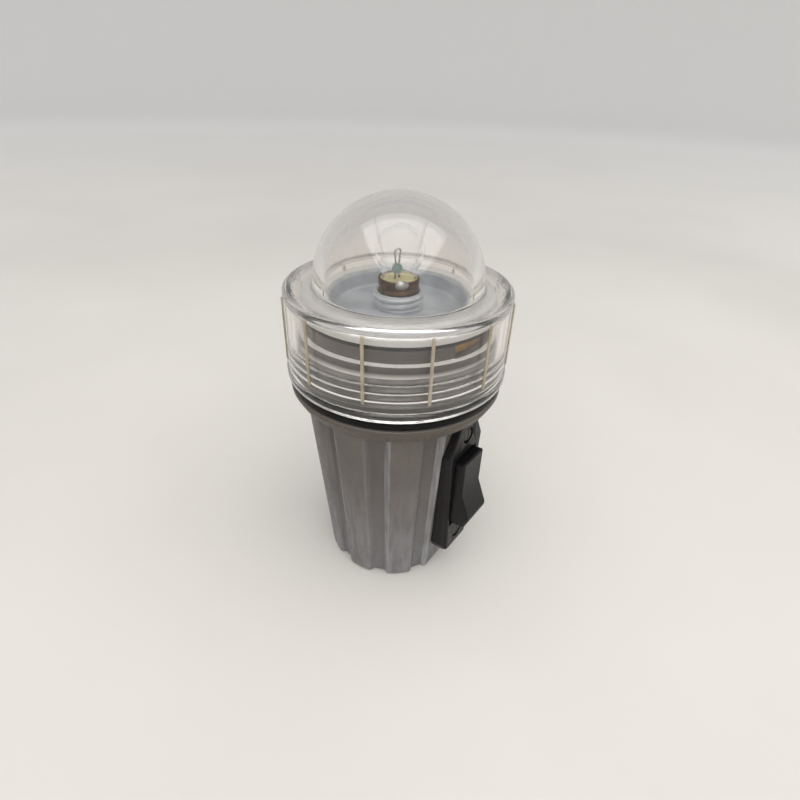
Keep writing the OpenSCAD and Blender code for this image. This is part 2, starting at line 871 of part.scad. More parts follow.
// Half section of the cap: bead, skirt, rounded shoulder and dome
module cap_section() {
  edge_x = skirt_r - shoulder_round;
  edge_z = shoulder_top_z - shoulder_round;
  difference() {
    union() {
      rect([0, cap_z], [skirt_r + bead_proud, cap_z + bead_h]);
      rect([0, cap_z], [skirt_r, edge_z]);
      rect([0, cap_z], [edge_x, shoulder_top_z]);
      translate([edge_x, edge_z]) circle(r = shoulder_round);
      intersection() {
        translate([0, shoulder_top_z]) circle(r = dome_r);
        rect([0, 0], [far, far]);
      }
    }
    rect([-eps, 0], [skirt_bore_r, shoulder_z]);
    rect([-eps, 0], [dome_bore_r, shoulder_top_z]);
    translate([0, shoulder_top_z]) circle(r = dome_bore_r);
  }
}

module lens_cap() {
  rib_low = cap_z + bead_h + cap_rib_foot;
  rib_high = shoulder_top_z - shoulder_round - cap_rib_head;
  color([0.9, 0.88, 0.84, 0.35]) {
    rotate_extrude() cap_section();
    for (i = [0 : cap_rib_count - 1])
      rotate([0, 0, cap_rib_turn + i * 360 / cap_rib_count])
        translate([-cap_rib_w / 2, -skirt_r - cap_rib_proud, rib_low])
          cube([cap_rib_w, cap_rib_proud + (skirt_r - skirt_bore_r) / 2, rib_high - rib_low]);
  }
}

// Side of the rocker about its pin: a plain upper half, and a lower half that rises to a toe
module rocker_side() {
  half = rocker_l / 2;
  tip = rocker_rise + half * tan(rocker_tilt);
  lug = pin_r + 0.8;
  polygon([
    [rocker_rise, 0], [tip, half], [lug - 1, half - 0.3], [-lug, 1.4 * lug],
    [-lug, -1.4 * lug], [lug - 1, 0.3 - half], [rocker_end_rise, -half],
    [rocker_toe_rise, -rocker_toe_l]
  ]);
}

module switch_rocker() {
  color([0.05, 0.05, 0.055])
    translate([0, -pin_y, pin_z])
      difference() {
        rotate([90, 0, -90])
          translate([0, 0, -rocker_w / 2])
            linear_extrude(rocker_w) rotate([0, 0, rocker_tilt]) rocker_side();
        translate([-far / 2, 0, 0]) rotate([0, 90, 0]) cylinder(r = pin_r + pin_clear, h = far);
      }
}

body_shell();
cap_seal();
reflector_washer();
switch_base();
switch_pin();
switch_screws();
switch_carrier();
switch_terminals();
feed_strip();
return_strip();
notch_strip();
base_bridge();
bridge_spring();
board_spring();
cell_button_up();
cell_button_down();
contact_board();
board_screws();
board_rivets();
lamp_leaf();
reflector();
lamp_shell();
lamp_insulator();
lamp_tip();
lamp_cement();
lamp_glass();
lamp_bead();
lamp_leads();
lamp_filament();
lamp_solder();
lens_cap();
switch_rocker();
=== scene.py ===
# Distress marker light: a ribbed grey body with a rocker switch, and a clear screw cap over a reflector and lamp.
import math
import bmesh
import bpy
import numpy as np
from mathutils import Matrix, Vector


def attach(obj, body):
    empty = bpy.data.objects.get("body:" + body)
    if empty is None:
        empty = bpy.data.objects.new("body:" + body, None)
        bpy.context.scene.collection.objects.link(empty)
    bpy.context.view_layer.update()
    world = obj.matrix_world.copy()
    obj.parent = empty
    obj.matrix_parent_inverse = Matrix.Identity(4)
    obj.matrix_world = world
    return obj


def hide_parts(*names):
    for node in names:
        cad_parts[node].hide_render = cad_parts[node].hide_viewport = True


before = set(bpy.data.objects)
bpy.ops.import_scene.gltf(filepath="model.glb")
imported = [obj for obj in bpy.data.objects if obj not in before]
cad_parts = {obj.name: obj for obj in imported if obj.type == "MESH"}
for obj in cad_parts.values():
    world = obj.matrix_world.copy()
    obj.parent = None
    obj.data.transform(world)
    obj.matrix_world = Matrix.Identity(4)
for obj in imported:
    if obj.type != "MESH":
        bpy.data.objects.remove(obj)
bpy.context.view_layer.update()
scene = bpy.context.scene
scene.view_settings.view_transform = "Standard"
scene.cycles.max_bounces, scene.cycles.glossy_bounces, scene.cycles.transmission_bounces = 24, 16, 20

# Camera: a wide lens close to the light, above it and looking down on its left front side, tipped a little.
# Its place is worked out about the light's own axis in mm and then turned round that axis.
lens_mm, sensor_mm, camera_out, camera_up = 23.02, 36, 113.40, 121.28
pitch, yaw, tip, turn = (math.radians(a) for a in (32.986, 0.611, -1.995, -53.8))
right = Vector((math.cos(yaw), -math.sin(yaw), 0))
ahead = Vector((math.sin(yaw) * math.cos(pitch), math.cos(yaw) * math.cos(pitch), -math.sin(pitch)))
above = right.cross(ahead)
axes = Matrix((math.cos(tip) * right - math.sin(tip) * above,
               math.sin(tip) * right + math.cos(tip) * above, -ahead)).transposed()
spin = Matrix.Rotation(turn, 3, "Z")
camera = bpy.data.objects.new("camera", bpy.data.cameras.new("camera"))
camera.data.lens, camera.data.sensor_width = lens_mm, sensor_mm
camera.data.clip_start, camera.data.clip_end = 0.001, 50
camera.matrix_world = (Matrix.Translation(spin @ Vector((0, -camera_out, camera_up)) / 1000)
                       @ (spin @ axes).to_4x4())
scene.collection.objects.link(camera)
scene.camera = camera

# Floor: one pale sheet that runs out flat from under the light and curves up into a wall all round it.
# It is matt, with a faint unevenness of tone, and paler further out.
def tone(r, g, b):
    """Linear colour of a display colour given in 0 to 255: the usual 2.4 power curve with its straight foot."""
    c = np.array([r, g, b]) / 255
    return (*np.where(c <= 0.04045, c / 12.92, ((c + 0.055) / 1.055) ** 2.4), 1.0)


def finish(name, dark, light, scale, rough, swing=0.08, bump=0.0, fine=8.0, **sockets):
    """Surface with a grain: colour runs from dark to light by a noise of the given scale per metre, roughness
    swings about its middle by a noise fine times closer, and a bump of that closer noise stands bump mm high.
    Both runs use the noise's middle stretch, from low to high."""
    low, high = 0.3, 0.7
    material = bpy.data.materials.new(name)
    material.use_nodes = True
    nodes, links = material.node_tree.nodes, material.node_tree.links
    shader = nodes["Principled BSDF"]
    place = nodes.new("ShaderNodeTexCoord").outputs["Object"]
    broad, close = nodes.new("ShaderNodeTexNoise"), nodes.new("ShaderNodeTexNoise")
    for noise, many in ((broad, scale), (close, scale * fine)):
        noise.inputs["Scale"].default_value = many
        noise.inputs["Detail"].default_value = 5
        links.new(place, noise.inputs["Vector"])
    ramp = nodes.new("ShaderNodeValToRGB")
    for stop, at, colour in zip(ramp.color_ramp.elements, (low, high), (dark, light)):
        stop.position, stop.color = at, colour
    links.new(broad.outputs["Fac"], ramp.inputs["Fac"])
    links.new(ramp.outputs["Color"], shader.inputs["Base Color"])
    span = nodes.new("ShaderNodeMapRange")
    span.inputs["From Min"].default_value, span.inputs["From Max"].default_value = low, high
    span.inputs["To Min"].default_value = max(0.02, rough - swing)
    span.inputs["To Max"].default_value = min(1.0, rough + swing)
    links.new(close.outputs["Fac"], span.inputs["Value"])
    links.new(span.outputs["Result"], shader.inputs["Roughness"])
    if bump:
        relief = nodes.new("ShaderNodeBump")
        relief.inputs["Strength"].default_value = 1.0
        relief.inputs["Distance"].default_value = bump / 1000
        links.new(close.outputs["Fac"], relief.inputs["Height"])
        links.new(relief.outputs["Normal"], shader.inputs["Normal"])
    for socket, value in sockets.items():
        shader.inputs[socket.replace("_", " ")].default_value = value
    return material


def piece(name, points, faces, material, crisp=40):
    """One object at the origin from points in mm and arrays of faces. Its signed volume tells whether the faces
    point outwards, and turns them if not. Edges sharper than crisp degrees stay sharp."""
    points = np.asarray(points, float).reshape(-1, 3) / 1000
    thirds = np.concatenate([f[:, [0, i, i + 1]] for f in faces for i in range(1, f.shape[1] - 1)])
    a, b, c = (points[thirds[:, i]] for i in range(3))
    if np.einsum("ij,ij->", a, np.cross(b, c)) < 0:
        faces = [f[:, ::-1] for f in faces]
    mesh = bpy.data.meshes.new(name)
    mesh.vertices.add(len(points))
    mesh.vertices.foreach_set("co", points.ravel())
    corners = np.concatenate([f.ravel() for f in faces]).astype(np.int32)
    counts = np.concatenate([np.full(len(f), f.shape[1]) for f in faces])
    mesh.loops.add(len(corners))
    mesh.loops.foreach_set("vertex_index", corners)
    mesh.polygons.add(len(counts))
    mesh.polygons.foreach_set("loop_start", (np.cumsum(counts) - counts).astype(np.int32))
    mesh.update(calc_edges=True)
    mesh.shade_smooth()
    mesh.set_sharp_from_angle(angle=math.radians(crisp))
    mesh.materials.append(material)
    made = bpy.data.objects.new(name, mesh)
    scene.collection.objects.link(made)
    return made


def weave(grid, loop=False, first=None, last=None):
    """Points and faces of a grid (row, column, xyz) whose rows close on themselves. loop joins the last row to
    the first; first and last are middle points that close those rows with a fan."""
    n, m = grid.shape[:2]
    k = np.arange(n * m).reshape(n, m)
    a, b = (k, np.roll(k, -1, 0)) if loop else (k[:-1], k[1:])
    points = [grid.reshape(-1, 3)]
    faces = [np.stack([a, np.roll(a, -1, 1), np.roll(b, -1, 1), b], -1).reshape(-1, 4)]
    for row, middle, flip in ((k[0], first, 1), (k[-1], last, -1)):
        if middle is not None:
            points.append(np.asarray(middle, float)[None])
            hub = np.full(m, sum(map(len, points)) - 1)
            faces.append(np.stack([np.roll(row, -1), row, hub], -1)[:, ::flip])
    return np.concatenate(points), faces


def around(profile, angles):
    """Grid of a profile of (r, z) points carried round the Z axis to each angle: x = r cos a, y = r sin a."""
    r, z = profile[:, 0, None], profile[:, 1, None]
    return np.stack([r * np.cos(angles), r * np.sin(angles), z + 0 * angles], -1)


def even(count):
    """Angles of a full turn in count equal steps."""
    return np.arange(count) * 2 * np.pi / count


def shaded(material, name, colour, most, least=0.35):
    """Lays a colour over a finish where the piece's point attribute of that name is 1: a share of most, down to
    least of it by a streaky noise, tall in z."""
    nodes, links = material.node_tree.nodes, material.node_tree.links
    mark = nodes.new("ShaderNodeAttribute")
    mark.attribute_name = name
    streak, stretch = nodes.new("ShaderNodeTexNoise"), nodes.new("ShaderNodeMapping")
    stretch.inputs["Scale"].default_value = (900, 900, 90)
    streak.inputs["Scale"].default_value = 1.0
    links.new(nodes["Texture Coordinate"].outputs["Object"], stretch.inputs["Vector"])
    links.new(stretch.outputs["Vector"], streak.inputs["Vector"])
    span, amount = nodes.new("ShaderNodeMapRange"), nodes.new("ShaderNodeMath")
    span.inputs["From Min"].default_value, span.inputs["From Max"].default_value = 0.3, 0.62
    span.inputs["To Min"].default_value, span.inputs["To Max"].default_value = least * most, most
    links.new(streak.outputs["Fac"], span.inputs["Value"])
    amount.operation = "MULTIPLY"
    links.new(span.outputs["Result"], amount.inputs[0])
    links.new(mark.outputs["Fac"], amount.inputs[1])
    blend = nodes.new("ShaderNodeMix")
    blend.data_type = "RGBA"
    beneath = nodes["Principled BSDF"].inputs["Base Color"].links[0].from_socket
    links.new(amount.outputs["Value"], blend.inputs["Factor"])
    links.new(beneath, blend.inputs["A"])
    blend.inputs["B"].default_value = colour
    links.new(blend.outputs["Result"], nodes["Principled BSDF"].inputs["Base Color"])


def marked(made, name, values, shape):
    """Gives a piece a point attribute: values spread over a grid of that many rows and columns, and 0 on the
    points that follow the grid's."""
    layer = made.data.attributes.new(name, "FLOAT", "POINT")
    full = np.zeros(len(made.data.vertices), np.float32)
    full[:shape[0] * shape[1]] = np.broadcast_to(values, shape).ravel()
    layer.data.foreach_set("value", full)


floor_r, cove_r, wall_top, far_from, far_over = 1700, 700, 1500, 350, 900
out, cove = np.linspace(20, floor_r, 20), np.linspace(-np.pi / 2, 0, 24)
sheet = np.concatenate([
    np.stack([out, 0 * out], -1),
    np.stack([floor_r + cove_r * np.cos(cove), cove_r + cove_r * np.sin(cove)], -1)[1:],
    [[floor_r + cove_r, wall_top]]])
paper = finish("pale_paper", tone(200, 197, 192), tone(208, 205, 200), 6, 0.9, swing=0.02)
shaded(paper, "far", tone(253, 252, 250), 1.0, 1.0)
floor_grid = around(sheet, even(96))
floor = piece("floor", *weave(floor_grid, first=(0, 0, 0)), paper)
marked(floor, "far", np.clip((sheet[:, :1] - far_from) / far_over, 0, 1), floor_grid.shape[:2])

# Studio light: an even pale room light, and a roof of three long panes of soft light with dark bars between them,
# which runs from behind the camera to past the light and shows in the dome.
room = bpy.data.worlds.new("room")
room.use_nodes = True
room.node_tree.nodes["Background"].inputs["Color"].default_value = tone(250, 250, 252)
room.node_tree.nodes["Background"].inputs["Strength"].default_value = 0.5
scene.world = room
roof_z, roof_near, roof_far, roof_glow, roof_tint = 900, -1500, 290, 2.1, (1.0, 0.99, 0.97)
for name, low, high in (("pane_left", -640, -375), ("pane_middle", -345, 360), ("pane_right", 390, 880)):
    data = bpy.data.lights.new(name, "AREA")
    data.shape, data.size, data.size_y = "RECTANGLE", (high - low) / 1000, (roof_far - roof_near) / 1000
    data.energy, data.color = roof_glow * math.pi * data.size * data.size_y, roof_tint
    middle = Vector(((low + high) / 2, (roof_near + roof_far) / 2, roof_z)) / 1000
    pane = bpy.data.objects.new(name, data)
    pane.matrix_world = spin.to_4x4() @ Matrix.Translation(middle)
    scene.collection.objects.link(pane)

# Body: one grey plastic moulding. Sunk panels lie between ten broad ribs, with a flat seat for the switch across
# the front, and above them stand a collar, a neck with a screw thread, and a thinner top with a notch over the
# switch. A well for the switch goes through its wall.
body_bottom_r, body_top_r, body_h, base_t, wall_t = 18.1, 22.9, 52.5, 2.2, 1.5
foot_z, foot_round, hub_r, cavity_foot_z, cavity_head_z = 1.9, 1.2, 0.5, 4, 56
crease_low_r, crease_lean, panel_half, panel_slope = 16.85, 3.8 / 52.5, 1.5, math.tan(math.radians(50))
rib_count, first_panel = 10, math.radians(7.4 - 90)
panel_soft, rib_soft, seat_soft, seat_reach = 0.15, 0.3, 0.12, 1.2
collar_low_r, collar_r, collar_z = 24.9, 26.2, 56.3
neck_r, neck_top_r, neck_bore_r, ledge_z, neck_z, board_z = 23.4, 22.2, 20.4, 71.0, 74.0, 57.5
notch_half, notch_side, well_half, hair = math.radians(22), 0.002, math.radians(17.5), 0.001
well_low, well_high = 18.7, 41.7


def filled(corners, steps=5, gap=1.0):
    """Profile through corners (r, z, round): every corner but the ends becomes an arc of its round, tangent to
    both sides, and straight stretches get points no more than gap mm apart."""
    corners = np.asarray(corners, float)
    spots, rounds = corners[:, :2], np.maximum(corners[:, 2], 0.01)
    back, on = spots[:-2] - spots[1:-1], spots[2:] - spots[1:-1]
    back, on = (v / np.linalg.norm(v, axis=1)[:, None] for v in (back, on))
    half = np.arccos(np.clip((back * on).sum(1), -1, 1)) / 2
    bisect = (back + on) / np.linalg.norm(back + on, axis=1)[:, None]
    middle = spots[1:-1] + bisect * (rounds[1:-1] / np.sin(half))[:, None]
    start = spots[1:-1] + back * (rounds[1:-1] / np.tan(half))[:, None]
    end = spots[1:-1] + on * (rounds[1:-1] / np.tan(half))[:, None]
    w, sweep = np.linspace(0, 1, steps + 1)[:, None], (np.pi - 2 * half)
    arcs = [m + (np.sin((1 - w) * s) * (a - m) + np.sin(w * s) * (b - m)) / np.sin(s)
            for m, a, b, s in zip(middle, start, end, sweep)]
    rows, at = [spots[:1]], spots[0]
    for arc in arcs + [spots[-1:]]:
        n = int(np.ceil(np.linalg.norm(arc[0] - at) / gap))
        rows += [at + (arc[0] - at) * np.linspace(0, 1, n + 1)[1:-1, None]] if n > 1 else []
        rows.append(arc)
        at = arc[-1]
    return np.concatenate(rows)


def cone_at(z):
    """Radius of the plain cone, which grows evenly with height."""
    return body_bottom_r + (body_top_r - body_bottom_r) * z / body_h


def crease_at(z):
    """Distance from the axis to the panels' floors and the switch's seat, which lean less than the cone."""
    return crease_low_r + crease_lean * z


def lower_of(a, b, soft):
    """The lower of a and b, rounded off where they are within soft of each other."""
    return np.minimum(a, b) - soft * np.maximum(1 - np.abs(a - b) / soft, 0) ** 2 / 4


def sunk(angle, z):
    """Angle f from the nearest panel's middle, and the radii there of the plain cone, of the panel's floor, where
    r cos f = crease, and of its sides, where r cos f = crease + (r |sin f| - half) slope."""
    half_step = np.pi / rib_count
    f = (angle - first_panel + half_step) % (2 * half_step) - half_step
    crease = crease_at(z)
    side = (crease - panel_half * panel_slope) / (np.cos(f) - np.abs(np.sin(f)) * panel_slope)
    return f, cone_at(z), crease / np.cos(f), side


def ribbed(angle, z):
    """Radius of the body's side as a share of the plain cone's: the lowest of cone, sunk panel and switch seat,
    where the panel is the higher of its floor and sides."""
    _, cone, panel, side = sunk(angle, z)
    from_seat = np.clip((angle + 1.5 * np.pi) % (2 * np.pi) - np.pi, -seat_reach, seat_reach)
    hollow = -lower_of(-panel, -side, panel_soft)
    return lower_of(lower_of(cone, hollow, rib_soft), crease_at(z) / np.cos(from_seat), seat_soft) / cone


wall_rows = np.array([2.2, 5, 8.4, 11.8, 15.2, 18.6, well_low, 22, 25, 28, 31, 34, 38, well_high, 41.8, 44, 46.4,
                      49, 51.6])
cavity_rows = wall_rows[wall_rows > 3]
foot = filled([(hub_r, 0, 0), (body_bottom_r, 0, foot_round), (cone_at(foot_z), foot_z, 0)], steps=7, gap=4)[:-1]
wall = np.stack([cone_at(wall_rows), wall_rows], -1)
head = filled([(body_top_r, body_h - 0.1, 0), (body_top_r + 0.1, body_h, 0.05), (collar_low_r - 0.4, body_h, 0.3),
               (collar_low_r, body_h + 0.4, 0.3), (collar_r, collar_z - 1, 0.6), (collar_r, collar_z, 0.35),
               (neck_r, collar_z, 0.25), (neck_r, ledge_z, 0.35), (neck_top_r, ledge_z, 0.2),
               (neck_top_r, neck_z, 0.3), (neck_bore_r, neck_z, 0.25), (neck_bore_r, board_z, 0.15),
               (crease_at(board_z) - wall_t, board_z, 0.15),
               (crease_at(cavity_head_z) - wall_t, cavity_head_z, 0)], gap=1.2)
cavity = np.stack([crease_at(cavity_rows) - wall_t, cavity_rows], -1)[::-1]
inside = filled([(crease_at(cavity_foot_z) - wall_t, cavity_foot_z, 0), (crease_at(base_t) - wall_t, base_t, 0.4),
                 (hub_r, base_t, 0)], gap=4)
profile = np.concatenate([foot, wall, head, cavity, inside])
r, z = profile[:, :1], profile[:, 1:]
outer = (np.arange(len(profile)) <= len(foot) + len(wall))[:, None]

# Columns stand close together at the ribs' and the seat's edges, and exactly at the notch's and the well's sides.
half_rib = np.radians(np.concatenate([[0, 2, 3.2], np.linspace(3.9, 5.4, 7), [6.2, 7], np.linspace(7.7, 9.5, 8),
                                      [10.6, 13, 15.5, 18]]))
rib_turns = first_panel + even(rib_count)[:, None]
seat_turns = np.concatenate([np.radians([0, 4, 8, 12, 15]), np.radians(np.linspace(20.8, 26.2, 18)),
                             [notch_half, notch_half + notch_side, well_half]])
angles = np.concatenate([(rib_turns + half_rib).ravel(), (rib_turns - half_rib).ravel(),
                         seat_turns - np.pi / 2, -seat_turns - np.pi / 2])
angles = np.unique(np.round(angles % (2 * np.pi), 6))
from_front = np.abs((angles + np.pi / 2 + np.pi) % (2 * np.pi) - np.pi)
grid = around(profile, angles)
grid[..., :2] *= np.where(outer, ribbed(angles[None], np.minimum(z, body_h)), 1.0)[..., None]
on_neck_top = (r > neck_bore_r - 0.3) & (r < neck_top_r + 0.3) & (z > ledge_z)
grid[..., 2] = np.where((from_front < notch_half + hair) & on_neck_top, ledge_z, grid[..., 2])
points, faces = weave(grid, first=(0, 0, 0), last=(0, 0, base_t))

# The well: the faces of the wall's outside and inside are taken out there, and a band joins the two openings.
rows_n, cols_n = grid.shape[:2]
cell_row, cell_col = np.divmod(np.arange((rows_n - 1) * cols_n), cols_n)
col_from, col_to = np.flatnonzero(from_front < well_half + hair)[[0, -1]]
in_well = (profile[:, 1] > well_low - 0.01) & (profile[:, 1] < well_high + 0.01)
in_cavity = np.arange(rows_n) >= len(foot) + len(wall) + len(head)
on_wall, on_cavity = np.flatnonzero(in_well & outer[:, 0]), np.flatnonzero(in_well & in_cavity)
gone = np.any([(cell_row >= rows[0]) & (cell_row < rows[-1]) for rows in (on_wall, on_cavity)], 0)
faces[0] = faces[0][~(gone & (cell_col >= col_from) & (cell_col < col_to))]


def rim_of(rows):
    """Indices once round the well's opening in the given rows: along its foot, up, back along its head, down."""
    k, c = np.arange(rows_n * cols_n).reshape(rows_n, cols_n), np.arange(col_from, col_to + 1)
    return np.concatenate([k[rows[0], c[:-1]], k[rows[:-1], c[-1]], k[rows[-1], c[:0:-1]], k[rows[:0:-1], c[0]]])


front, behind = rim_of(on_wall), rim_of(on_cavity[::-1])
faces.append(np.stack([front, np.roll(front, -1), np.roll(behind, -1), behind], -1))
grey = finish("body_grey", tone(86, 81, 77), tone(100, 94, 90), 60, 0.5, swing=0.1, bump=0.03, fine=14,
              Specular_IOR_Level=0.45)
# Painted light: paler and cooler towards the foot and darker towards the collar, as if the cap shades the top.
shaded(grey, "foot_light", tone(134, 135, 139), 0.8)
# Painted shade: darker in the sunk panels, but not on their sides that face the light.
shaded(grey, "crease", tone(74, 68, 63), 0.35)
# Painted shade: darker and browner on the collar, for the cap's shadow over it.
shaded(grey, "collar", tone(78, 71, 62), 0.9, 0.8)
# Painted highlight: a pale tone on the panels' sides that face one way and on the edge just past them, where light
# falls.
shaded(grey, "rib", tone(164, 165, 168), 0.65)
shaded(grey, "shade", tone(66, 63, 60), 0.75, 0.9)
# Painted highlight: near-white on the ledge's top and on one line round the neck, for the glints of light there.
shaded(grey, "ledge", tone(250, 250, 248), 1.0, 0.9)
body = piece("body_moulding", points, faces, grey, crisp=45)

# Where each tone lies, most of it painted light: a painted highlight on the panels' sides that face one way and on the
# edge just past them, painted light towards the foot, painted shade in the sunk panels, browner painted shade on the
# collar under the cap, and painted shade on the neck but for a painted highlight on its ledge and one line.
foot_light_z, crease_shade_deep, ease, lit_edge_width, side_from_r = 38, 0.6, 0.1, 0.5, 17
line_z, line_half, shade_z, shade_ease = 68.3, 0.55, 70.4, 0.4
f, cone, panel, side = sunk(angles[None], np.minimum(z, body_h))
on_side = outer & (r > side_from_r)
on_slope = np.clip((side - panel) / ease, 0, 1) * np.clip((cone - side) / ease + 1, 0, 1)
past_edge = np.exp(-((side - cone) / lit_edge_width) ** 2) * (side > cone)
on_neck = (r > neck_r - 0.1) & (z > collar_z + 0.3)
on_ledge = (np.abs(z - ledge_z) < 0.12) & (r > neck_top_r - 0.1)
highlight_line = np.exp(-((z - line_z) / line_half) ** 2) * on_neck
for name, values in (
        ("rib", on_side * np.where(f > 0, np.maximum(on_slope, 0.8 * past_edge), 0.3 * on_slope)),
        ("foot_light", on_side * np.clip(1.15 - z / foot_light_z, 0, 1) ** 1.3),
        ("crease", on_side * np.clip((cone - np.maximum(panel, side)) / crease_shade_deep, 0, 1) * (1 - on_slope * (f > 0))),
        ("collar", (z > body_h - 0.05) & (z < collar_z - 0.2) & (r > body_top_r)),
        ("shade", on_neck * np.clip((shade_z - z) / shade_ease, 0, 1) * (1 - highlight_line)),
        ("ledge", np.maximum(on_ledge, highlight_line))):
    marked(body, name, values, grid.shape[:2])
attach(body, "body")
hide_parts("body_shell")

# Neck thread: the raised screw ridge on the neck, of the same grey moulding, which the cap screws down on.
# Its four turns fade out at both ends, and the ridge is painted paler than the neck: a painted highlight for the glint
# on its crests.
thread_pitch, thread_crest, thread_low, thread_high, thread_mark = 2.0, 24.1, 60.2, 68.6, 0.20
ridge_half, ridge_crown, ridge_sunk, ridge_fade = 0.62, 0.2, 0.15, 0.18


def helix_ridge(steps=420):
    """Closed ridge along a right-hand screw line z = pitch (a / turn + mark): a rounded hump with a narrow flat
    crown, between neck and crest, whose height fades in over the first and last part of a turn."""
    t = np.linspace(0, 1, steps)
    z = thread_low + (thread_high - thread_low) * t
    angle = 2 * np.pi * (z / thread_pitch - thread_mark)
    fade = np.clip(np.minimum(t, 1 - t) * (thread_high - thread_low) / thread_pitch / ridge_fade, 0.02, 1)
    fade = (fade * fade * (3 - 2 * fade))[:, None]
    w = np.linspace(-1, 1, 13)
    lift = 0.5 + 0.5 * np.cos(np.pi * np.clip((np.abs(w) - ridge_crown) / (1 - ridge_crown), 0, 1))
    crest = neck_r + (thread_crest - neck_r) * lift * fade
    r = np.concatenate([crest, np.full((steps, 2), neck_r - ridge_sunk)], 1)
    rise = z[:, None] + ridge_half * np.concatenate([w, [1, -1]]) * (0.3 + 0.7 * fade)
    ring = np.stack([r * np.cos(angle)[:, None], r * np.sin(angle)[:, None], rise], -1)
    return weave(ring, first=ring[0].mean(0), last=ring[-1].mean(0))


# Paler than the neck: a painted highlight for the glint on the crests.
thread_lit_grey = finish("thread_lit_grey", tone(116, 114, 111), tone(142, 140, 137), 200, 0.4, bump=0.01)
neck_thread = piece("neck_thread", *helix_ridge(), thread_lit_grey)
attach(neck_thread, "body")

# Base bridge and its spring: a flat brass bar on the floor of the body, pushed over a stake, that joins the two
# cells, and a coil of plated wire standing on it. A like coil hangs from the board over the other cell.
def softened(node, name, width, material, body_name, steps=2, shortest=0, merge=0.002, spare=None):
    """A solid with its edges rounded: in a copy, the node's loose triangles are joined where they lie within merge
    mm, flat ones dissolved, and edges sharper than 30 degrees get a round of width mm. With shortest, only edges
    longer than it are rounded, which leaves the rims of bores alone, and not those whose middle spare picks."""
    sharp = math.radians(30)
    shape = bmesh.new()
    shape.from_mesh(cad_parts[node].data)
    bmesh.ops.remove_doubles(shape, verts=shape.verts, dist=merge / 1000)
    bmesh.ops.dissolve_limit(shape, angle_limit=math.radians(0.8), verts=shape.verts, edges=shape.edges)
    if shortest:
        weight = shape.edges.layers.float.new("bevel_weight_edge")
        for edge in shape.edges:
            middle = (edge.verts[0].co + edge.verts[1].co) * 500
            edge[weight] = (edge.calc_length() > shortest / 1000 and edge.calc_face_angle(0) > sharp
                            and not (spare and spare(*middle)))
    mesh = bpy.data.meshes.new(name)
    shape.to_mesh(mesh)
    shape.free()
    mesh.shade_smooth()
    mesh.set_sharp_from_angle(angle=sharp)
    mesh.materials.clear()
    mesh.materials.append(material)
    made = bpy.data.objects.new(name, mesh)
    scene.collection.objects.link(made)
    rounding = made.modifiers.new("round", "BEVEL")
    rounding.width, rounding.segments, rounding.harden_normals = width / 1000, steps, True
    rounding.limit_method, rounding.angle_limit = "WEIGHT" if shortest else "ANGLE", sharp
    rounding.use_clamp_overlap = not shortest
    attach(made, body_name)
    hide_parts(node)


def rod(path, radius, lean, sides=12):
    """Round wire along a path: at each point a ring of the given radius in the plane across the path, started
    from the part of lean that is square to it."""
    along = np.gradient(path, axis=0)
    along /= np.linalg.norm(along, axis=1)[:, None]
    n = lean - (along @ lean)[:, None] * along
    n /= np.linalg.norm(n, axis=1)[:, None]
    b, a = np.cross(along, n), even(sides)[None, :, None]
    ring = path[:, None] + radius * (np.cos(a) * n[:, None] + np.sin(a) * b[:, None])
    return weave(ring, first=path[0], last=path[-1])


def coil(x, low, high, turns=2.0, r=3.2, wire=0.7):
    """Helix of wire about an upright axis at x: the angle and the height grow evenly, from low to high in all."""
    t = np.linspace(0, 1, 140)
    a = 2 * np.pi * turns * t
    rise = low + wire / 2 + (high - low - wire) * t
    return rod(np.stack([x + r * np.cos(a), r * np.sin(a), rise], -1), wire / 2, np.array([0, 0, 1.0]), 10)


cell_x, floor_z, cell_l, cell_r, cell_up_z = 7.5, 2.7, 50.5, 7.25, 6.2
brass = finish("strip_brass", tone(150, 112, 52), tone(190, 150, 82), 180, 0.34, swing=0.1, bump=0.01, Metallic=1.0)
plated = finish("spring_wire", tone(150, 150, 152), tone(196, 196, 198), 250, 0.28, swing=0.08, Metallic=1.0)
softened("base_bridge", "bridge_bar", 0.12, brass, "body")
for node, x, low, high in (("bridge_spring", cell_x, floor_z, cell_up_z),
                           ("board_spring", -cell_x, floor_z + cell_l, board_z - 0.5)):
    spring = piece(node + "_coil", *coil(x, low, high), plated)
    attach(spring, "body")
    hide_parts(node)

# Cells: two round dry cells side by side, one with its button up and one down. Each is a drawn can with rolled
# edges in a plain printed sleeve of two colours, and a plated button.
can_foot_r, can_rim_r, can_l, button_r = 6.2, 6.5, 49.3, 2.75
bare, dark, copper = tone(170, 170, 172), tone(36, 38, 44), tone(168, 110, 62)


def sleeve(name, low, high):
    """Finish of a cell: by height from low to high, bare metal, the dark sleeve, a copper band, bare metal."""
    material = finish(name, tone(34, 36, 42), tone(44, 46, 52), 90, 0.3, swing=0.06)
    nodes, links = material.node_tree.nodes, material.node_tree.links
    shader, place = nodes["Principled BSDF"], nodes["Texture Coordinate"].outputs["Object"]
    height = nodes.new("ShaderNodeSeparateXYZ")
    links.new(place, height.inputs["Vector"])
    bands = nodes.new("ShaderNodeValToRGB")
    bands.color_ramp.interpolation = "CONSTANT"
    stops = ((0.0, bare), (0.03, dark), (0.68, copper), (0.955, bare))
    while len(bands.color_ramp.elements) < len(stops):
        bands.color_ramp.elements.new(1.0)
    for stop, (at, colour) in zip(bands.color_ramp.elements, stops):
        stop.position, stop.color = at, colour
    span = nodes.new("ShaderNodeMapRange")
    span.inputs["From Min"].default_value, span.inputs["From Max"].default_value = low / 1000, high / 1000
    links.new(height.outputs["Z"], span.inputs["Value"])
    links.new(span.outputs["Result"], bands.inputs["Fac"])
    links.new(bands.outputs["Color"], shader.inputs["Base Color"])
    shader.inputs["Metallic"].default_value = 0.55
    return material


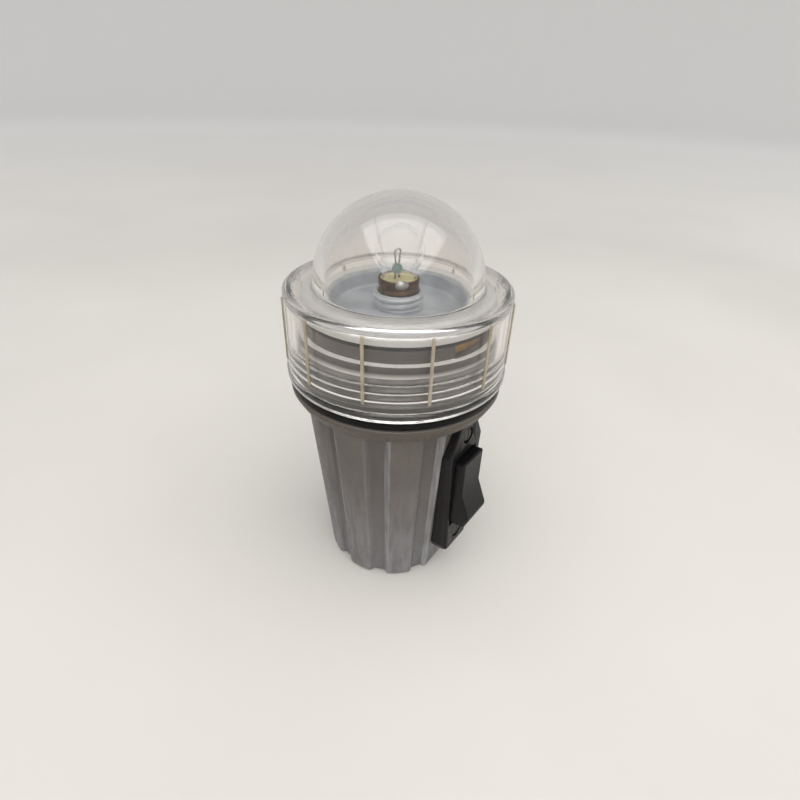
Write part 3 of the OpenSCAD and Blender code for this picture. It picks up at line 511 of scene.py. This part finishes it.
can = filled([(0.3, 0, 0), (can_foot_r, 0, 0.3), (can_foot_r + 0.2, 0.35, 0.2), (cell_r, 0.35, 0.3),
              (cell_r, can_l - 0.3, 0.4), (can_rim_r, can_l, 0.2), (button_r, can_l, 0.25),
              (button_r, cell_l - 0.05, 0.4), (0.3, cell_l, 0)], gap=6)
for node, x, low, flip in (("cell_button_up", cell_x, cell_up_z, 1), ("cell_button_down", -cell_x, floor_z, -1)):
    shape = can.copy()
    shape[:, 1] = low + (shape[:, 1] if flip > 0 else cell_l - shape[:, 1])
    cell_grid = around(shape, even(96)) + np.array([x, 0, 0])
    cell = piece(node + "_can", *weave(cell_grid, first=(x, 0, shape[0, 1]), last=(x, 0, shape[-1, 1])),
                 sleeve(node + "_sleeve", *((low, low + cell_l) if flip > 0 else (low + cell_l, low))))
    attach(cell, "body")
    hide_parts(node)

# Contact board: a disc of brown laminate across the foot of the neck, held by three screws. Three rivets hold the
# strips under and over it, and the leaf that touches the lamp's tip.
laminate = finish("board_brown", tone(86, 52, 28), tone(116, 74, 42), 220, 0.42, swing=0.08, bump=0.01)
softened("contact_board", "board_disc", 0.15, laminate, "body")
for node in ("feed_strip", "return_strip", "lamp_leaf"):
    softened(node, node + "_brass", 0.08, brass, "body")
# A brighter, less metallic copy of the strip brass: painted light for the strip down in the dark notch.
notch_lit_brass = finish("notch_lit_brass", tone(176, 126, 52), tone(214, 168, 86), 200, 0.4, swing=0.1, bump=0.01,
                    Metallic=0.4)
softened("notch_strip", "notch_strip_brass", 0.08, notch_lit_brass, "body")
softened("board_rivets", "rivet_set", 0.3, brass, "body", 3)
head_r, head_h, shank_r, shank_l = 2.1, 1.1, 1.1, 6.0
slot_half, slot_ease, slot_z = 0.36, 0.08, 0.5


def screw(spot, axis):
    """Slotted round-head screw, its head's seat at spot and its head towards axis: a turned profile whose head is
    lowered to the slot's floor where |x| is under the slot's half width."""
    shape = filled([(0.08, head_h, 0), (head_r * 0.75, head_h * 0.96, 0.6), (head_r, head_h * 0.3, 0.3),
                    (head_r, 0, 0.1), (shank_r, 0, 0.05), (shank_r, -shank_l, 0.3), (0.05, -shank_l, 0)], gap=0.12)
    g = around(shape, even(96))
    cut = np.clip((slot_half - np.abs(g[..., 0])) / slot_ease, 0, 1) * (g[..., 2] > 0.15)
    g[..., 2] = np.where(cut > 0, np.minimum(g[..., 2], g[..., 2] * (1 - cut) + slot_z * cut), g[..., 2])
    z = np.array(axis, float)
    x = np.cross([0.3, 0.2, 1.0] if abs(z[2]) < 0.9 else [0.3, 1.0, 0.0], z)
    x /= np.linalg.norm(x)
    lift = np.stack([x, np.cross(z, x), z])
    ends = np.array([[0, 0, g[0, 0, 2]], [0, 0, -shank_l]]) @ lift + spot
    return weave(g @ lift + spot, first=ends[0], last=ends[1])


def joined(parts):
    """Several point and face sets as one."""
    starts = np.cumsum([0] + [len(p) for p, _ in parts])
    return np.concatenate([p for p, _ in parts]), [f + s for (_, fs), s in zip(parts, starts) for f in fs]


screw_steel = finish("screw_steel", tone(118, 114, 108), tone(166, 163, 158), 400, 0.36, swing=0.1, bump=0.01,
                     Metallic=1.0)
board_screw_r, board_top_z = 15.62, 59.1
heads = [screw(np.array([board_screw_r * math.sin(a), -board_screw_r * math.cos(a), board_top_z]), (0, 0, 1))
         for a in np.radians([180, 45, -45])]
board_screws = piece("board_screw_set", *joined(heads), screw_steel)
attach(board_screws, "body")
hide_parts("board_screws")

# Switch: a black moulded frame held by two screws on the body's flat seat, with a carrier behind it that holds two
# terminals, and a rocker on a steel pin. Frame and rocker are smooth black plastic with rounded front edges.
frame_front, head_sunk, switch_z, screw_span = 22.396, 0.1, 30.2, 16.3
lip_y, frame_well_x, frame_well_z = -21, 5, 12


def stays_sharp(x, y, z):
    """Whether a point of the frame in mm is behind its front lip, towards the body, or on the edge of its well."""
    return y > lip_y or (abs(x) < frame_well_x and abs(z - switch_z) < frame_well_z)


black = finish("switch_black", tone(10, 10, 11), tone(19, 19, 20), 160, 0.38, swing=0.06, bump=0.01, fine=6,
               Specular_IOR_Level=0.22)
softened("switch_base", "switch_frame", 0.42, black, "body", 4, shortest=1.2, merge=0.15,
         spare=stays_sharp)
softened("switch_rocker", "rocker_key", 0.7, black, "rocker", 5, shortest=0.9)
dull_black = finish("carrier_black", tone(30, 29, 29), tone(42, 41, 41), 200, 0.6, bump=0.01)
dark_steel = finish("dark_steel", tone(60, 57, 54), tone(96, 92, 88), 400, 0.42, swing=0.12, bump=0.01,
                    Metallic=0.9)
softened("switch_carrier", "carrier_block", 0.2, dull_black, "body")
softened("switch_terminals", "terminal_blades", 0.08, brass, "body")
softened("switch_pin", "pin_rod", 0.12, dark_steel, "body")
screw_y = -(frame_front - head_h - head_sunk)
heads = [screw(np.array([0, screw_y, switch_z + s * screw_span]), (0, -1, 0)) for s in (-1, 1)]
switch_screws = piece("switch_screw_set", *joined(heads), dark_steel)
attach(switch_screws, "body")
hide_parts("switch_screws")

# Cap seal: a moulded ring of black rubber that lies loose on the collar round the neck.
# The cap presses it a little flat at its top and foot.
seal_r, seal_gap, seal_h = 1.3, 0.05, 2.4
rubber = finish("seal_rubber", tone(7, 7, 7), tone(15, 15, 15), 120, 0.5, swing=0.12, bump=0.02,
                Specular_IOR_Level=0.15)
a = even(40)
ring = np.stack([neck_r + seal_gap + seal_r + seal_r * np.cos(a),
                 collar_z + np.clip(seal_h / 2 + seal_r * np.sin(a), 0, seal_h)], -1)
seal = piece("seal_ring", *weave(around(ring, even(220)), loop=True), rubber)
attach(seal, "body")
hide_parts("cap_seal")

# Reflector washer: a flat ring stamped from dark fibre. It lies on top of the neck, and the reflector's rim stands
# on it.
washer_in, washer_mid, washer_top = neck_top_r - 1.6, neck_top_r - 0.8, neck_z + 0.8
# Its near-black is partly painted shade: the washer also stands for the shadow in the gap under the reflector's rim.
fibre = finish("washer_fibre", tone(10, 10, 10), tone(20, 19, 18), 260, 0.75, bump=0.02)
ring = filled([(washer_mid, neck_z, 0), (neck_top_r, neck_z, 0.1), (neck_top_r, washer_top, 0.15),
               (washer_in, washer_top, 0.15), (washer_in, neck_z, 0.1), (washer_mid, neck_z, 0)], steps=3)[:-1]
washer = piece("washer_ring", *weave(around(ring, even(200)), loop=True), fibre)
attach(washer, "body")
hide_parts("reflector_washer")

# Reflector: a dish pressed from thin sheet and silvered, with a rim skirt that stands on the washer and a raised
# socket in its middle, whose wall is rolled into the screw that holds the lamp.
rim_r, rim_in_r, rim_z, rim_mid_z, rim_top_z, sheet_t = 22.4, 16.2, 74.85, 76, 77.65, 0.6
dish_r, dish_z, socket_r, socket_z = 15.6, 73.75, 5.42, 78.25
roll_high, roll_pitch, roll_from, roll_to, roll_ease = 0.5, 1.5, 74.3, 78.0, 0.4
dish = filled([(rim_r, rim_mid_z, 0), (rim_r, rim_top_z, 0.9), (rim_in_r, rim_top_z, 0.7), (dish_r, dish_z, 0.8),
               (socket_r, dish_z, 0.5), (socket_r, socket_z, 0.28), (socket_r - sheet_t, socket_z, 0.28),
               (socket_r - sheet_t, dish_z - sheet_t, 0.9), (dish_r + sheet_t, dish_z - sheet_t, 1.3),
               (rim_in_r + sheet_t, rim_top_z - sheet_t, 0.15), (rim_r - sheet_t, rim_top_z - sheet_t, 0.35),
               (rim_r - sheet_t, rim_z, 0.25), (rim_r, rim_z, 0.25), (rim_r, rim_mid_z, 0)], steps=6, gap=0.16)[:-1]
r, z, turn_of = dish[:, :1], dish[:, 1:], even(240)
dish_grid = around(dish, turn_of)
on_socket = (r < socket_r + 0.18) & (z > dish_z)
roll = on_socket * np.clip(np.minimum(z - roll_from, roll_to - z) / roll_ease, 0, 1)
roll = roll_high * roll * np.abs(np.cos(np.pi * z / roll_pitch - turn_of / 2)) ** 0.6
dish_grid[..., :2] *= 1 + (roll / r)[..., None]
silver = finish("reflector_silver", tone(172, 179, 188), tone(206, 210, 215), 170, 0.45, swing=0.12, bump=0.015,
                fine=10, Metallic=0.2)
# Painted light: a paler tone on the flat rim, which faces up to the roof panes.
shaded(silver, "rim", tone(236, 236, 234), 0.85, 0.8)
reflector = piece("reflector_dish", *weave(dish_grid, loop=True), silver)
marked(reflector, "rim", np.clip((r - rim_in_r - 0.4) / 0.8, 0, 1), dish_grid.shape[:2])
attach(reflector, "reflector_unit")
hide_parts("reflector")

# Lamp base: a screw shell of thin brass gone dark brown, filled at its foot with a black glass insulator and a
# soldered tip, and at its top with cream cement that holds the globe. A drop of solder sits on its upper edge.
lamp_r, lamp_mid, lamp_in, lamp_low, lamp_top = 4.72, 4.5, 4.32, 71.6, 81.4
groove_deep, groove_pitch, groove_from, groove_to, groove_ease = 0.28, 1.8, 72.2, 80.4, 0.5
fill_r, plug_foot_r, plug_top, tip_r, tip_flat_r, tip_low, tip_top = 4.27, 2.0, 73.2, 1.8, 1.1, 69.2, 70.0
cement_low, cement_edge, cement_z, lip_r, lip_in_r, lip_z, lip_wave = 79.0, 80.95, 81.0, 3.96, 3.9, 81.75, 0.14
shell = filled([(lamp_mid, lamp_low, 0), (lamp_r, lamp_low, 0.12), (lamp_r, lamp_top, 0.14), (lamp_in, lamp_top, 0.14),
                (lamp_in, lamp_low, 0.12), (lamp_mid, lamp_low, 0)], steps=4, gap=0.13)[:-1]
r, z, turn_of = shell[:, :1], shell[:, 1:], even(144)
shell_grid = around(shell, turn_of)
groove = (r > lamp_mid + 0.1) * np.clip(np.minimum(z - groove_from, groove_to - z) / groove_ease, 0, 1)
groove = groove_deep * groove * (0.5 - 0.5 * np.cos(2 * np.pi * (z / groove_pitch) - turn_of))
shell_grid[..., :2] *= 1 - (groove / r)[..., None]
tarnish = finish("lamp_brass", tone(52, 37, 23), tone(112, 82, 48), 700, 0.5, swing=0.15, bump=0.03, fine=5,
                 Metallic=0.6)
lamp_shell = piece("lamp_screw_shell", *weave(shell_grid, loop=True), tarnish)
plug = filled([(0.1, tip_top, 0), (plug_foot_r, tip_top, 0.3), (fill_r, lamp_low, 0.3), (fill_r, plug_top, 0.2),
               (0.1, plug_top, 0)], gap=0.8)
insulator = piece("lamp_insulator_cone",
                  *weave(around(plug, even(96)), first=(0, 0, tip_top), last=(0, 0, plug_top)),
                  finish("insulator_black", tone(20, 18, 18), tone(34, 30, 30), 300, 0.25, swing=0.1))
button = filled([(0.1, tip_low, 0), (tip_flat_r, tip_low + 0.05, 0.5), (tip_r, tip_top - 0.1, 0.2),
                 (tip_r, tip_top, 0.02), (0.1, tip_top, 0)], gap=0.4)
tin = finish("tin_solder", tone(150, 150, 150), tone(200, 200, 198), 500, 0.35, swing=0.12, bump=0.03, Metallic=0.9)
lamp_tip = piece("lamp_tip_button",
                 *weave(around(button, even(64)), first=(0, 0, tip_low), last=(0, 0, tip_top)), tin)
fill = filled([(0.1, cement_low, 0), (fill_r, cement_low, 0.1), (fill_r, cement_edge, 0.15), (lip_r, lip_z, 0.15),
               (lip_in_r, cement_z, 0.05), (0.1, cement_z, 0)], gap=0.3)
turn_of = even(120)
fill_grid = around(fill, turn_of)
on_lip = fill[:, 1:] > cement_z + 0.2
fill_grid[..., 2] += on_lip * lip_wave * (np.sin(3 * turn_of + 1) + 0.6 * np.sin(7 * turn_of))
cream = finish("cement_cream", tone(214, 202, 150), tone(238, 230, 186), 600, 0.8, bump=0.04)
cement = piece("lamp_cement_fill", *weave(fill_grid, first=(0, 0, cement_low), last=(0, 0, cement_z)), cream)

# The solder's drop is a lumpy ball with three half widths, set at its place round the shell.
drop_turn, drop_out, drop_z, drop_deep, drop_wide, drop_high = math.radians(-46), 4.55, 80.85, 0.85, 1.5, 0.95
u, v = np.linspace(0.15, np.pi - 0.15, 14)[:, None], even(28)[None]
lump = 1 + 0.07 * np.sin(3 * v + 2 * u)
way = np.array([math.sin(drop_turn), -math.cos(drop_turn), 0])
drop = ((drop_out + drop_deep * lump * np.sin(u) * np.cos(v))[..., None] * way
        + (drop_wide * lump * np.sin(u) * np.sin(v))[..., None] * np.array([-way[1], way[0], 0])
        + (drop_z + drop_high * lump * np.cos(u))[..., None] * np.array([0, 0, 1.0]))
solder = piece("lamp_solder_drop", *weave(drop, first=drop[0].mean(0), last=drop[-1].mean(0)), tin)
for made, node, slot_name in ((lamp_shell, "lamp_shell", "lamp_brass"),
                              (insulator, "lamp_insulator", "insulator_black"),
                              (lamp_tip, "lamp_tip", "solder"), (cement, "lamp_cement", "cement_cream"),
                              (solder, "lamp_solder", "solder")):
    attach(made, "reflector_unit")
    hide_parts(node)

# Lamp mount: two plated wires stand in the cement, held apart by a green glass bead, and carry a fine coiled
# filament between their ends.
lead_x, lead_spread, lead_bow, lead_r = 0.75, 0.35, 0.12, 0.2
filament_z, filament_half, filament_r, filament_turns, filament_wire = 87.15, 1.1, 0.11, 26, 0.035
bead_z, bead_x, bead_y, bead_half, aside = 83.2, 1.32, 1.2, 1.15, np.array([-0.25, 0.35, 0])
t = np.linspace(0, 1, 60)
wires = []
for s in (-1, 1):
    spread = s * (lead_x + lead_spread * np.clip((t - 0.4) / 0.6, 0, 1) ** 1.5)
    path = np.stack([spread, s * lead_bow * np.sin(np.pi * t), cement_z + (filament_z - cement_z) * t], -1)
    wires.append(rod(path + aside, lead_r, np.array([0, 1.0, 0]), 10))
lead_copper = finish("lead_wire", tone(96, 72, 52), tone(140, 112, 84), 700, 0.4, Metallic=0.9)
leads = piece("lamp_lead_wires", *joined(wires), lead_copper)
t = np.linspace(0, 1, 560)
a = 2 * np.pi * filament_turns * t
path = np.stack([filament_half * (2 * t - 1), filament_r * np.cos(a),
                 filament_z + 0.1 + 0.25 * np.sin(np.pi * t) + filament_r * np.sin(a)], -1)
tungsten = finish("filament_wire", tone(70, 70, 74), tone(104, 104, 108), 900, 0.4, Metallic=1.0)
filament = piece("lamp_filament_coil", *rod(path + aside, filament_wire, np.array([0, 0, 1.0]), 6), tungsten)
u, v = np.linspace(0.12, np.pi - 0.12, 24)[:, None], even(40)[None]
ball = aside + np.stack([bead_x * np.sin(u) * np.cos(v), bead_y * np.sin(u) * np.sin(v),
                         bead_z + bead_half * np.cos(u) + 0 * v], -1)
teal = finish("bead_green", tone(0, 78, 64), tone(4, 104, 88), 500, 0.3, swing=0.05, Specular_IOR_Level=0.12)
bead_top, bead_foot = (aside + [0, 0, bead_z + s * (bead_half + 0.01)] for s in (1, -1))
bead = piece("lamp_glass_bead", *weave(ball, first=bead_top, last=bead_foot), teal)
for made, node, slot_name in ((leads, "lamp_leads", "steel"), (filament, "lamp_filament", "steel"),
                              (bead, "lamp_bead", "bead_green")):
    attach(made, "reflector_unit")
    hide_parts(node)

# Lamp globe: a small ball blown in thin clear glass, on a short neck.
# The neck is set in the cement over the wires.
globe_z, globe_r, globe_neck, glass_t = 87.5, 5.5, 3.9, 0.22


def blown(ball_r, neck):
    """Profile of the globe from its top down: the ball as r = R cos t, then the larger of ball and neck, blended
    by (a + b + sqrt((a - b)^2 + k^2)) / 2 with k growing below the ball's middle."""
    t = np.linspace(np.pi / 2 - 0.04, 0, 30)
    z = np.linspace(globe_z, cement_z, 40)[1:]
    low = np.sqrt(np.maximum(ball_r ** 2 - (z - globe_z) ** 2, 0))
    k = 0.8 * np.clip((globe_z - z) / 3, 0, 1)
    r = np.where(z > globe_z - 0.5, low, (low + neck + np.sqrt((low - neck) ** 2 + k ** 2)) / 2)
    upper = np.stack([ball_r * np.cos(t), globe_z + ball_r * np.sin(t)], -1)
    return np.concatenate([upper, np.stack([r, z], -1)])


walls = np.concatenate([blown(globe_r, globe_neck), blown(globe_r - glass_t, globe_neck - glass_t)[::-1]])
glass = finish("lamp_clear", (0.97, 0.98, 0.98, 1), (1, 1, 1, 1), 80, 0.03, swing=0.01, Transmission_Weight=1.0,
               IOR=1.18)
globe = piece("lamp_globe", *weave(around(walls, even(96)), first=(0, 0, globe_z + globe_r),
                                   last=(0, 0, globe_z + globe_r - glass_t)), glass, crisp=60)
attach(globe, "reflector_unit")
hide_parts("lamp_glass")

# Cap: one clear plastic moulding, screwed on over the reflector. A domed lens rises from a flat shoulder with fine
# turned lines, and the skirt below has a bead at its foot and a screw thread inside.
cap_z, skirt_r, skirt_bore, foot_r, bead_h, bead_out = 58.75, 26.5, 24.4, 25.6, 2.4, 0.4
shoulder_z, shoulder_top, dome_r, dome_bore, dome_from = 77.7, 80.0, 19.75, 17.15, 0.09
turned_in, turned_out, turned_step, turned_deep = 21.8, 25.6, 0.6, 0.012
bore_top, bore_foot = 71.5, 59.7
cap_thread_low, cap_thread_high, cap_thread_in, cap_thread_fade = 61.0, 68.2, 0.32, 0.8
outside = filled([(foot_r, cap_z, 0), (skirt_r + bead_out, cap_z, 0.7), (skirt_r + bead_out, cap_z + bead_h, 0.8),
                  (skirt_r, cap_z + bead_h, 0.25), (skirt_r, shoulder_top, 0.9), (dome_r + 0.05, shoulder_top, 0.5),
                  (dome_r * math.cos(dome_from), shoulder_top + dome_r * math.sin(dome_from), 0)], steps=6, gap=0.6)
flat = np.flatnonzero((outside[:, 1] > shoulder_top - 0.001) & (outside[:, 0] > turned_in)
                      & (outside[:, 0] < turned_out))
turned_r = np.linspace(turned_out - 0.05, turned_in + 0.05, 44)
turned = np.stack([turned_r, shoulder_top - turned_deep * (1 - np.cos(2 * np.pi * turned_r / turned_step))], -1)
rise = np.linspace(0.02, np.pi / 2 - 0.02, 54)
lens = np.stack([dome_r * np.cos(rise), shoulder_top + dome_r * np.sin(rise)], -1)[rise > 0.1]
outside = np.concatenate([outside[:flat[0]], turned, outside[flat[-1] + 1:], lens])
bowl = np.stack([dome_bore * np.cos(rise), shoulder_top + dome_bore * np.sin(rise)], -1)[::-1]
ceiling = filled([(dome_bore, shoulder_top, 0), (dome_bore, shoulder_z, 0.4), (skirt_bore, shoulder_z, 0.6),
                  (skirt_bore, bore_top, 0)], steps=5, gap=0.7)
bore = np.stack([np.full(58, skirt_bore), np.linspace(bore_top - 0.2, bore_foot + 0.2, 58)], -1)
mouth = filled([(skirt_bore, bore_foot, 0), (skirt_bore, cap_z, 0.4), (foot_r, cap_z, 0)], steps=4, gap=0.7)[:-1]
inner = np.concatenate([bowl, ceiling, bore, mouth])
r, z, turn_of = inner[:, :1], inner[:, 1:], even(264)
inner_grid = around(inner, turn_of)

# The cap's thread lies half a pitch from the neck's ridge, so that each crest runs between two of the other's.
crest = 0.5 + 0.5 * np.cos(2 * np.pi * (z / thread_pitch - turn_of / (2 * np.pi) - thread_mark - 0.5))
within = np.clip(np.minimum(z - cap_thread_low, cap_thread_high - z) / cap_thread_fade, 0, 1)
inner_grid[..., :2] *= 1 - (cap_thread_in * within * (r < skirt_bore + 0.1) * crest / r)[..., None]
upper = weave(around(outside, turn_of), last=(0, 0, shoulder_top + dome_r))
lower = weave(inner_grid, first=(0, 0, shoulder_top + dome_bore))
points, faces = joined([upper, lower])
first_row = np.arange(len(turn_of))
last_row = len(upper[0]) + (len(inner) - 1) * len(turn_of) + first_row
faces.append(np.stack([last_row, np.roll(last_row, -1), np.roll(first_row, -1), first_row], -1))
clear = finish("cap_clear", (0.955, 0.935, 0.91, 1), (0.985, 0.97, 0.95, 1), 40, 0.06, swing=0.03, bump=0.006,
               fine=20, Transmission_Weight=1.0, IOR=1.49)
cap = piece("cap_moulding", points, faces, clear, crisp=60)
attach(cap, "cap")
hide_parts("lens_cap")

# Grip ribs: twelve thin upright ridges on the skirt, of the cap's own moulding.
# They are rubbed dull and cream-coloured by handling.
rib_n, rib_turn, rib_half, rib_out, rib_low, rib_l = 12, math.radians(-8.5), 0.35, 0.35, 62.95, 78.5 - 62.95
rib_sunk, squareness, rib_end = 0.06, 0.45, 0.4
w = even(24)
across = rib_half * np.sign(np.cos(w)) * np.abs(np.cos(w)) ** squareness
proud = np.where(np.sin(w) > 0, rib_out, -rib_sunk) * np.abs(np.sin(w)) ** squareness
ends = np.array([0, 0.1, 0.3])
along = np.concatenate([ends, np.linspace(0.6, rib_l - 0.6, 12), rib_l - ends[::-1]])[:, None]
full = np.clip(np.minimum(along, rib_l - along) / rib_end, 0.05, 1) ** 0.5
bar = np.stack([across * (0.5 + 0.5 * full), -skirt_r - proud * np.where(proud > 0, full, 1),
                rib_low + along + 0 * w], -1)
bars = []
for a in rib_turn + even(rib_n):
    spun = bar @ np.array([[np.cos(a), np.sin(a), 0], [-np.sin(a), np.cos(a), 0], [0, 0, 1]])
    bars.append(weave(spun, first=spun[0].mean(0), last=spun[-1].mean(0)))
dull = finish("rib_dull", tone(172, 158, 138), tone(204, 193, 174), 300, 0.45, swing=0.1, bump=0.01,
              Transmission_Weight=0.35, IOR=1.49)
ribs = piece("cap_grip_ribs", *joined(bars), dull, crisp=60)
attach(ribs, "cap")
